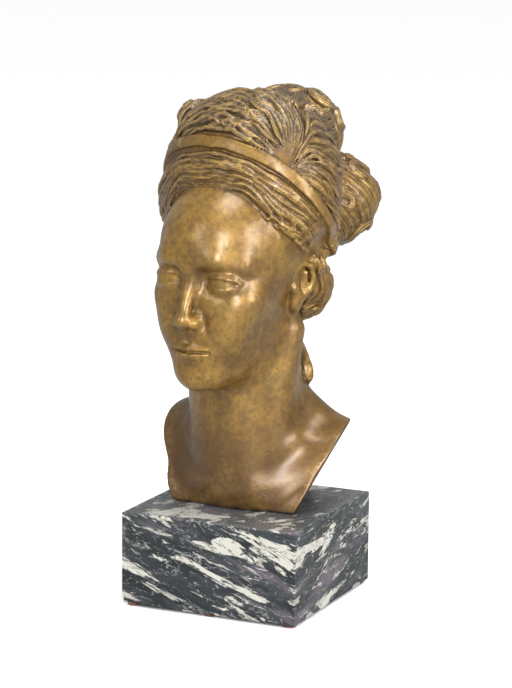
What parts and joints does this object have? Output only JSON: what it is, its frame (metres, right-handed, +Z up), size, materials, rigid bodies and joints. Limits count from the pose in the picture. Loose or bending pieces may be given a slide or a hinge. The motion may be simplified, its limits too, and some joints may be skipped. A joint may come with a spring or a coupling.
{
  "type": "gilt bronze bust",
  "caption": "Gilt bronze bust of a young woman with banded, gathered hair, cut off below the neck, on a square block of veined marble.",
  "frame": {"origin": "middle of the object's box in plan, at the undersides of the felt pads", "axes": "+Z up, -Y towards the front of the block and the chest, +X to the figure's left; the head is turned a little towards -X"},
  "size_m": [0.1898, 0.2786, 0.4951],
  "materials": {
    "gilt_bronze": "worn gilding over brown bronze, satin",
    "marble": "dark green-grey marble with cream veins, polished, edges a little worn",
    "felt": "red-brown felt"
  },
  "bodies": {
    "root": {"bust": "gilt_bronze", "plinth": "marble", "felt_pad_front_left": "felt", "felt_pad_front_middle": "felt", "felt_pad_front_right": "felt", "felt_pad_back_left": "felt", "felt_pad_back_middle": "felt", "felt_pad_back_right": "felt"}
  },
  "joints": []
}
